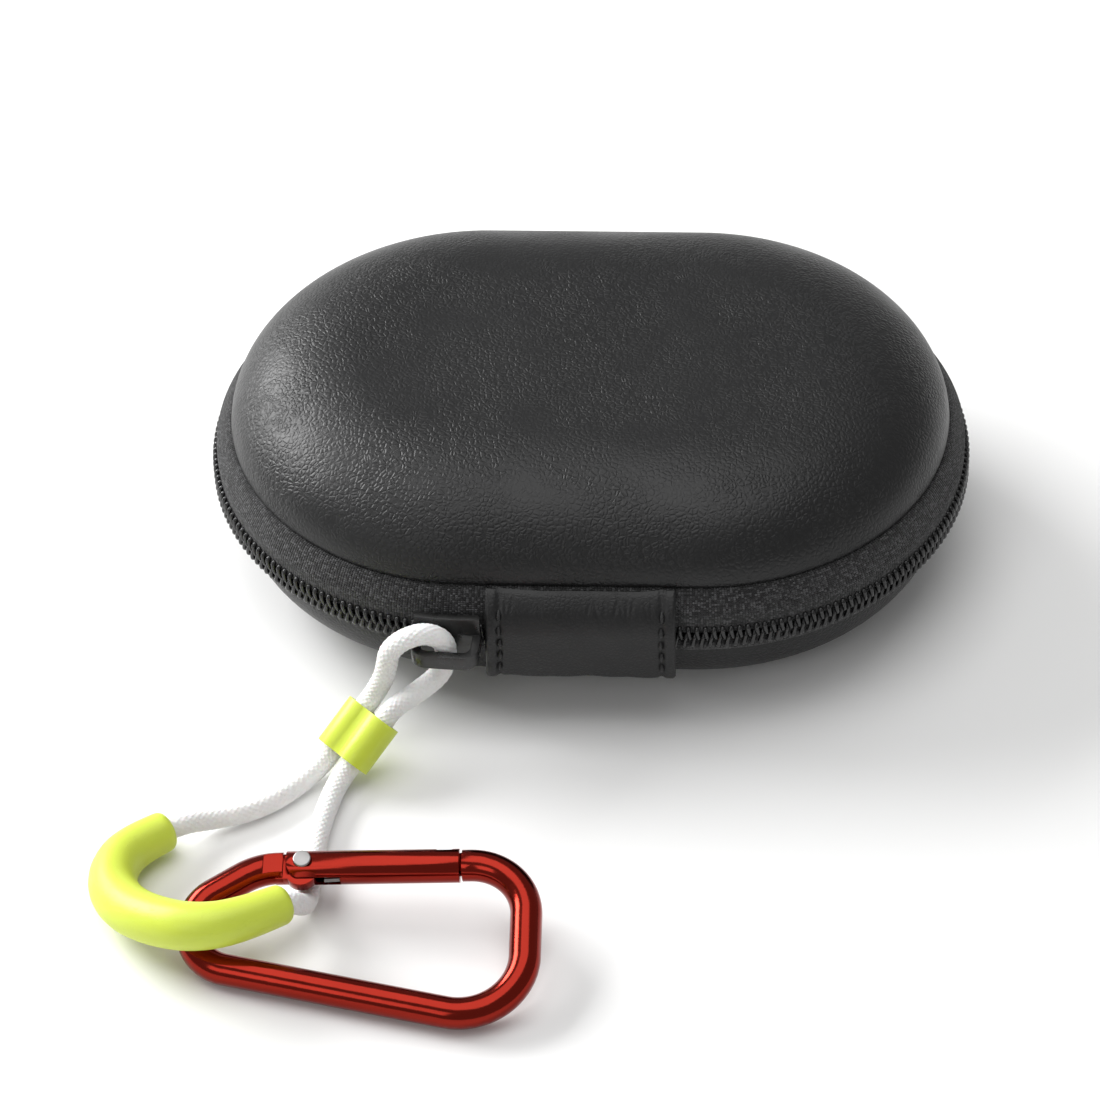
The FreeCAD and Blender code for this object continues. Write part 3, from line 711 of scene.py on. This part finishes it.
cord = braided("braided_cord", cord_line, 1.65 * MM, 12, 1.05 * MM, 0.16 * MM, 60)
cord_cloth, tree, shader = new_material("white braid", 0.8, Sheen_Weight=0.2, Sheen_Roughness=0.5,
                                        Subsurface_Weight=0.12, Subsurface_Scale=0.0008)
fibres = use(tree, wear, Patch_Scale=90.0, Speck_Scale=3600.0)
blend_colour(tree, shader, fibres.outputs["Patches"], (0.80, 0.80, 0.79), (0.88, 0.88, 0.875))
bump(tree, shader, fibres.outputs["Specks"], 0.00005)
dress(cord, cord_cloth, "lanyard", "cord_white", "lanyard_cord")

# %% [markdown]
# ## Grip
# The grip is soft rubber moulded over both cord ends into a C. It is thickest where the finger pulls and
# thinner at its ends. A curve with a round section gives the bar. The open ring at each end is then drawn
# out in short steps that follow a quarter circle, each smaller than the last, and closed: a moulded end is
# rounded like that.

# %% Grip
grip_swell = [0.90, 0.98, 1.05, 1.08, 1.10, 1.08, 1.05, 0.98, 0.88]
grip_curve = nurbs("grip", grip_route, 10, 3.35 * MM, grip_swell)
grip_curve.data.bevel_resolution = 10
grip = as_mesh(grip_curve)
grip.name = "lime_grip"
cap_round, cap_steps = 1.4 * MM, 6
for spot, beyond in ((grip_route[0], grip_route[1]), (grip_route[-1], grip_route[-2])):
    end = Vector(spot) * MM
    way = (Vector(spot) - Vector(beyond)).normalized()
    edit(grip)
    bpy.ops.mesh.select_mode(type="EDGE")
    bpy.ops.mesh.select_all(action="DESELECT")
    bpy.ops.mesh.select_non_manifold()
    done_editing()
    near = [(vertex.co - end).length < 5 * MM for vertex in grip.data.vertices]
    for edge in grip.data.edges:
        edge.select = edge.select and all(near[n] for n in edge.vertices)
    for vertex in grip.data.vertices:
        vertex.select = vertex.select and near[vertex.index]
    radius = max((v.co - end).length for v in grip.data.vertices if v.select)
    bpy.ops.object.mode_set(mode="EDIT")
    drawn, size = 0.0, 1.0
    for step in range(1, cap_steps + 1):
        angle = math.pi / 2 * step / cap_steps
        reach = cap_round * math.sin(angle)
        shrink = 1 - cap_round * (1 - math.cos(angle)) / radius
        bpy.ops.mesh.extrude_region_move(TRANSFORM_OT_translate={"value": way * (reach - drawn)})
        bpy.ops.transform.resize(value=(shrink / size,) * 3, center_override=end + way * reach)
        drawn, size = reach, shrink
    bpy.ops.mesh.edge_face_add()
    done_editing()
edit(grip)
bpy.ops.mesh.normals_make_consistent(inside=False)
done_editing()
smooth(grip, 50)
dress(grip, lime_rubber, "lanyard", "lime_rubber", "lanyard_grip")

# %% [markdown]
# ## Pieces that keep the frame's shape
# The bead, the slider and the clip's parts were drawn exactly. A copy of each is merged into one skin, its
# flat faces are joined again, and its sharp edges get a bevel. The bevel is held back by the shortest edge
# near it. On the bead, the slider and the clip that leaves almost none of the width asked for, so their edges
# stay sharp. Only the rivet comes out visibly rounded.


# %% Rounded copies
sharp_edge, smooth_edge = 32, 40


def rounded_copy(name, source, width, segments):
    """Copy of a frame node, merged, with its sharp edges rounded."""
    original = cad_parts[source]
    made = bpy.data.objects.new(name, original.data.copy())
    bpy.context.scene.collection.objects.link(made)
    edit(made)
    bpy.ops.mesh.remove_doubles(threshold=0.000004)
    bpy.ops.mesh.dissolve_limited(angle_limit=math.radians(1.0))
    done_editing()
    modify(made, "BEVEL", width=width, segments=segments, limit_method="ANGLE",
           angle_limit=math.radians(sharp_edge), use_clamp_overlap=True)
    smooth(made, smooth_edge)
    return made


bead = rounded_copy("lime_bead", "cord_bead", 0.32 * MM, 3)
dress(bead, lime_plastic, "bead", "lime_plastic", "cord_bead")
slider = rounded_copy("zip_slider", "slider_body", 0.22 * MM, 3)
dress(slider, enamel, "zip_slider", "slider_enamel", "slider_body")
clip_body = rounded_copy("clip_body", "carabiner_body", 0.12 * MM, 2)
dress(clip_body, red_metal, "carabiner", "red_anodised", "carabiner_body")
clip_gate = rounded_copy("clip_gate", "carabiner_gate", 0.15 * MM, 2)
dress(clip_gate, red_metal, "gate", "red_anodised", "carabiner_gate")
rivet = rounded_copy("clip_rivet", "gate_rivet", 0.18 * MM, 3)
dress(rivet, steel, "carabiner", "bare_steel", "gate_rivet")

# %% [markdown]

print("cord, grip, bead, slider and clip made")

# %% [markdown]
# ## Sections that run round the pouch
# Covers and tapes are one section carried round a racetrack: a half turn, a straight side, a half turn, a
# straight side. The section is drawn by extruding a single point, spun round one end, extruded along the
# side, and so on. Its doubles are merged and its normals made to agree before it gets any thickness.

# %% Racetrack tools
end_steps, side_steps = 72, 22


def racetrack(name, section):
    """Skin of a section carried round the pouch. section: (inset from the chain, height) in mm."""
    points = [Vector((half_side, -(end_radius - inset * MM), high * MM)) for inset, high in section]
    bpy.ops.object.select_all(action="DESELECT")
    bpy.ops.mesh.primitive_plane_add(size=0.001, location=points[0])
    made = bpy.context.object
    made.name = name
    edit(made)
    bpy.ops.mesh.merge(type="CENTER")
    for here, there in zip(points, points[1:]):
        bpy.ops.mesh.extrude_region_move(TRANSFORM_OT_translate={"value": there - here})
    bpy.ops.mesh.select_all(action="SELECT")
    bpy.ops.mesh.spin(steps=end_steps, angle=-math.pi, center=(half_side, 0, 0), axis=(0, 0, 1))
    bpy.ops.mesh.extrude_repeat(steps=side_steps, offset=(-2 * half_side / side_steps, 0, 0))
    bpy.ops.mesh.spin(steps=end_steps, angle=-math.pi, center=(-half_side, 0, 0), axis=(0, 0, 1))
    bpy.ops.mesh.extrude_repeat(steps=side_steps, offset=(2 * half_side / side_steps, 0, 0))
    bpy.ops.mesh.select_all(action="SELECT")
    bpy.ops.mesh.remove_doubles(threshold=0.00003)
    bpy.ops.mesh.normals_make_consistent(inside=False)
    done_editing()
    settle(made)
    return made


def face_outwards(piece):
    """Turn the skin over if its faces look towards the middle of the pouch."""
    centre = Vector((0, 0, mid_z))
    score = sum((f.center - centre).dot(f.normal) * f.area for f in piece.data.polygons)
    if score < 0:
        edit(piece)
        bpy.ops.mesh.flip_normals()
        done_editing()


def round_distance(x, y):
    """How far along the racetrack a place is, from the middle of the front side, in metres."""
    arc = math.pi * end_radius
    if abs(x) <= half_side:
        return x if y < 0 else half_side + arc + (half_side - x)
    if x > 0:
        return half_side + end_radius * (math.atan2(y, x - half_side) + math.pi / 2)
    return -half_side - end_radius * (math.pi / 2 + math.atan2(y, -x - half_side))


def lay_cloth_map(piece, section):
    """UV map in metres: along the racetrack and along the section."""
    lengths = [0.0]
    for (d0, h0), (d1, h1) in zip(section, section[1:]):
        lengths.append(lengths[-1] + math.hypot(d1 - d0, h1 - h0) * MM)
    while piece.data.uv_layers:
        piece.data.uv_layers.remove(piece.data.uv_layers[0])
    layer = piece.data.uv_layers.new(name="cloth")
    co = [v.co for v in piece.data.vertices]
    places = []
    for p in co:
        far = math.hypot(max(abs(p.x) - half_side, 0), p.y)
        inset, high = (end_radius - far) / MM, p.z / MM
        near = min(range(len(section)),
                   key=lambda n: (section[n][0] - inset) ** 2 + (section[n][1] - high) ** 2)
        places.append((round_distance(p.x, p.y), lengths[near]))
    for face in piece.data.polygons:
        middle = round_distance(face.center.x, face.center.y)
        for loop in face.loop_indices:
            u, v = places[piece.data.loops[loop].vertex_index]
            while u - middle > once_round / 2:
                u -= once_round
            while middle - u > once_round / 2:
                u += once_round
            layer.data[loop].uv = (u, v)


def turned_over(section):
    """The same section below the chain."""
    return [(inset, case_height - high) for inset, high in section]


print("racetrack", end_steps, "steps round each end,", side_steps, "along each side")

# %% [markdown]
# ## Covers
# Each dome is leather pressed over moulded foam: a tight curl at the foot, a shoulder that is a quarter of
# an ellipse, and a flat crown. The lower dome is pressed fuller than the lid, so its shoulder is a little
# squarer.

# %% Covers
def dome_section(fullness):
    """Upper dome's section, from its curled foot to near the middle. Under 1 the shoulder is squarer."""
    foot = [(4.6, 24.15), (3.9, 24.1), (3.4, 24.25), (3.08, 24.6)]
    turns = [math.radians(3 + 87 * n / 26) for n in range(27)]
    shoulder = [(3.0 + 20 * (1 - max(0.0, math.cos(a)) ** fullness), 24.5 + 12.5 * math.sin(a) ** fullness)
                for a in turns]
    return foot + shoulder + [(23.0 + 18.0 * n / 7, case_height) for n in range(1, 8)]


lid_cover = racetrack("lid_leather", dome_section(1.0))
face_outwards(lid_cover)
smooth(lid_cover, 60)
dress(lid_cover, cover_leather, "lid", "leather_black", "upper_cover")
base_cover = racetrack("base_leather", turned_over(dome_section(0.85)))
face_outwards(base_cover)
smooth(base_cover, 60)
dress(base_cover, cover_leather, "case_base", "leather_black", "lower_cover")

# %% [markdown]
# ## Zip tapes
# The tape stands upright behind the teeth, then leans in and runs under the dome's foot. It is a sheet of
# woven cloth, so it gets a cloth map, then a thickness inwards. The chain is drawn 1.4 mm below the case's
# middle, where it lies on the real pouch.

# %% Tapes
chain_z = 17.1
tape_belly = [(0.5, 20.7), (0.56, 21.2), (0.86, 21.7), (1.12, 22.1), (1.45, 22.7), (1.85, 23.3),
              (2.3, 23.85), (2.8, 24.2), (3.4, 24.3), (4.4, 24.2), (5.6, 24.1)]
base_belly = [(0.5, 15.2), (0.6, 14.6), (0.85, 14.1), (1.25, 13.65), (1.8, 13.25), (2.6, 12.9), (3.4, 12.7),
              (4.4, 12.8), (5.6, 12.9)]
lid_section = [(0.62, chain_z + 0.7), (0.55, 19.2)] + tape_belly
base_section = [(0.62, chain_z - 0.7), (0.55, 15.9)] + base_belly
for name, section, body, cad in (("lid_tape", lid_section, "lid", "upper_zip_tape"),
                                 ("base_tape", base_section, "case_base", "lower_zip_tape")):
    tape = racetrack(name, section)
    face_outwards(tape)
    lay_cloth_map(tape, section)
    modify(tape, "SOLIDIFY", thickness=0.4 * MM, offset=-1)
    smooth(tape, 50)
    dress(tape, tape_cloth, body, "zip_tape", cad)

# %% [markdown]
# ## Teeth
# A nylon chain is one thread coiled and sewn to each tape. From outside each turn shows as a leg that
# rises from the middle and ends in a round head at the chain's edge. One leg is drawn as a short bent bar.
# Copies of it, each with its own mesh, go round the racetrack, the lower row half a step along. None are
# needed under the patch.

# %% Teeth
pitch = 1.27
bare_half = 13.3 * MM
leg_points = [(0.40, 0.62, -0.52), (0.30, 0.20, -0.20), (0.14, 0.10, 0.45), (0.0, 0.06, 1.05),
              (-0.05, 0.20, 1.55), (-0.05, 0.60, 1.75), (-0.02, 1.15, 1.6)]
leg_curve = nurbs("leg", leg_points, 2, 0.33 * MM, [0.85, 1.0, 0.95, 1.05, 1.25, 1.15, 0.8])
leg_curve.data.bevel_resolution = 1
leg_curve.data.use_fill_caps = True
leg = as_mesh(leg_curve)
smooth(leg, 80)
print("one tooth", len(leg.data.polygons), "faces")


def on_chain(distance):
    """Place and outward direction on the chain, distance in metres from the middle of the front side."""
    arc = math.pi * end_radius
    sign = 1 if distance >= 0 else -1
    way = abs(distance)
    if way <= half_side:
        return Vector((sign * way, -end_radius, 0)), -math.pi / 2
    if way <= half_side + arc:
        turn = (way - half_side) / end_radius
        angle = -math.pi / 2 + turn
        spot = Vector((half_side + end_radius * math.cos(angle), end_radius * math.sin(angle), 0))
        if sign < 0:
            spot.x, angle = -spot.x, math.pi - angle
        return spot, angle
    return Vector((sign * (2 * half_side + arc - way), end_radius, 0)), math.pi / 2


def row_of_teeth(name, flip):
    """One row of the chain. The lower row is the upper one turned over."""
    count = round(once_round / (pitch * MM))
    copies = []
    for n in range(count):
        distance = (n + (0.5 if flip else 0)) * once_round / count - once_round / 2
        if abs(distance) < bare_half:
            continue
        spot, angle = on_chain(distance)
        mesh = leg.data.copy()
        turn = Matrix.Rotation(angle + math.pi / 2, 4, "Z")
        stand = Matrix.Translation(spot + Vector((0, 0, chain_z * MM))) @ turn
        mirror = Matrix.Scale(-1, 4, (0, 0, 1)) if flip else Matrix.Identity(4)
        mesh.transform(stand @ mirror)
        if flip:
            mesh.flip_normals()
        copy = bpy.data.objects.new(name, mesh)
        bpy.context.scene.collection.objects.link(copy)
        copies.append(copy)
    print(name, len(copies), "teeth")
    return join_pieces(copies, name)


lid_teeth = row_of_teeth("lid_teeth", False)
dress(lid_teeth, nylon, "lid", "zip_nylon", "upper_zip_coil")
base_teeth = row_of_teeth("base_teeth", True)
dress(base_teeth, nylon, "case_base", "zip_nylon", "lower_zip_coil")
bpy.data.objects.remove(leg)

# %% [markdown]
# ## Hinge patch
# A strip of leather covers the stretch without teeth. Its two ends are folded under and sewn, so a hem
# stands a little proud beside each row of stitches. The fold over the chain leaves fine upright wrinkles
# near its upper edge, and its lower edge hangs free in a slow wave. A fine grid is shaped point by point,
# because those wrinkles are sculpted, not drafted.

# %% Hinge patch
patch_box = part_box("hinge_tab")
patch_half = (patch_box[1].x - patch_box[0].x) / 2 / MM
patch_low, patch_high = patch_box[0].z / MM, patch_box[1].z / MM
bpy.ops.object.select_all(action="DESELECT")
bpy.ops.mesh.primitive_grid_add(x_subdivisions=150, y_subdivisions=66, size=2, location=(0, 0, 0))
patch_piece = bpy.context.object
patch_piece.name = "hinge_patch"


def fold_depth(high):
    """How far inside the chain the patch's outside lies at a height from the chain's middle."""
    bulge = -1.8 + 0.006 * (high + 2.5) ** 2
    if high <= 0.0:
        return bulge
    lean = 2.6 * (1 - math.cos(math.pi / 2 * min(high / 6.4, 1.0)))
    return bulge + lean + 0.18 * max(0.0, high - 3.4) ** 2


stitch_margin = 2.1
stitch_x = patch_half - stitch_margin
wrinkle_height = 4.3
wrinkles = ((-11.0, 0.9), (-10.2, 0.6), (-6.0, 0.25), (-1.5, 0.3), (1.2, 0.5), (2.3, 0.6), (3.6, 0.5),
            (5.2, 0.9), (6.0, 0.8), (6.8, 1.0), (7.6, 0.6), (9.6, 0.5), (10.4, 0.5))
for vertex in patch_piece.data.vertices:
    s, t = vertex.co.x, vertex.co.y
    x = s * patch_half
    high = (patch_low + (patch_high - patch_low) * (t + 1) / 2) - middle_height
    low_wave = 0.10 * math.sin(x * 0.42 + 0.6) + 0.06 * math.sin(x * 1.1)
    high += (1 - t) / 2 * low_wave + (1 + t) / 2 * 0.25 * (abs(s) ** 4 - 0.5)
    depth = fold_depth(high)
    beside = abs(x) - stitch_x
    hem = 1 / (1 + math.exp(-(beside - 0.55) * 7))
    seam = math.exp(-(beside / 0.38) ** 2)
    depth += -0.26 * hem + 0.24 * seam
    top_zone = math.exp(-((high - wrinkle_height) / 1.3) ** 2)
    crease = 0.0
    for k, (spot, strong) in enumerate(wrinkles):
        lean = spot + 0.35 * math.sin(k * 2.1) * (high - wrinkle_height)
        crease += strong * math.exp(-((x - lean) / 0.20) ** 2)
    depth += 0.15 * crease * top_zone
    depth += 0.05 * math.sin(x * 0.55 + 1.0) + 0.03 * math.sin(x * 0.9 + high * 0.6)
    rim = max(0.0, abs(s) - 0.972) / 0.028
    depth += 0.55 * rim ** 2 + 0.25 * max(0.0, abs(t) - 0.96) ** 2 / 0.0016
    if x < -patch_half + 2.2 and high < -4.5:
        depth -= 0.24 * math.sin(math.pi * min(1.0, (-4.5 - high) / 3.6)) * hem
    vertex.co = Vector((x * MM, (-chain_radius + depth) * MM, (middle_height + high) * MM))
edit(patch_piece)
bpy.ops.mesh.normals_make_consistent(inside=False)
done_editing()
face_outwards(patch_piece)
modify(patch_piece, "SOLIDIFY", thickness=0.9 * MM, offset=-1)
smooth(patch_piece, 50)
patch_piece.data.materials.append(patch_leather)
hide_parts("hinge_tab")
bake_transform(patch_piece)
print("patch", len(patch_piece.data.polygons), "faces")

# %% [markdown]
# The stitches are short bars of thread that dive into the leather at each end. Five run down each hem.

# %% Stitches
first_stitch, stitch_step, stitch_length = -6.75, 2.34, 1.4
stitch_parts = []
for side in (-1, 1):
    for n in range(5):
        wander = 0.10 * math.sin(n * 1.7 + side)
        bar_points = []
        for k in range(5):
            high = first_stitch + n * stitch_step + stitch_length * k / 4
            sink = 0.26 if k in (0, 4) else -0.02
            bar_points.append((side * stitch_x + wander, -chain_radius + fold_depth(high) + 0.02 + sink,
                               middle_height + high))
        bar = nurbs("stitch", bar_points, 4, 0.27 * MM, [0.7, 1, 1.1, 1, 0.7])
        bar.data.bevel_resolution = 2
        bar.data.use_fill_caps = True
        stitch_parts.append(as_mesh(bar))
stitches = join_pieces(stitch_parts, "patch_stitches")
smooth(stitches, 60)
stitches.data.materials.append(thread)
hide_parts("tab_stitching")
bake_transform(stitches)
print("stitches", len(stitches.data.polygons), "faces")

# %% [markdown]
# ## Pieces that keep their shape as drawn
# The layers inside, the stops, the net and the spring are right as they are and only need their finishes.

# %% Finishes for the other nodes
finishes = {
    "upper_shell": foam, "lower_shell": foam, "upper_lining": lining_cloth, "lower_lining": lining_cloth,
    "upper_rim_binding": lining_cloth, "lower_rim_binding": lining_cloth, "hinge_strip": lining_cloth,
    "pocket_net": net_cloth, "pocket_elastic": elastic_cloth, "zip_end_stops": nylon, "gate_spring": steel,
}
for name, material in finishes.items():
    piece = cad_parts[name]
    for slot in piece.material_slots:
        slot.material = material
print(len(finishes), "nodes given a finish")

# %% [markdown]
# ## Check and finish
# The box of everything shown is kept beside the frame's own box, to see that no piece has outgrown it.

# %% Finish
shown_box = [list(corner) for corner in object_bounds()]
for label, a, b in zip("xyz", zip(*cad_box), zip(*shown_box)):
    print(label, "frame", [round(v * 1000, 2) for v in a], "shown", [round(v * 1000, 2) for v in b])
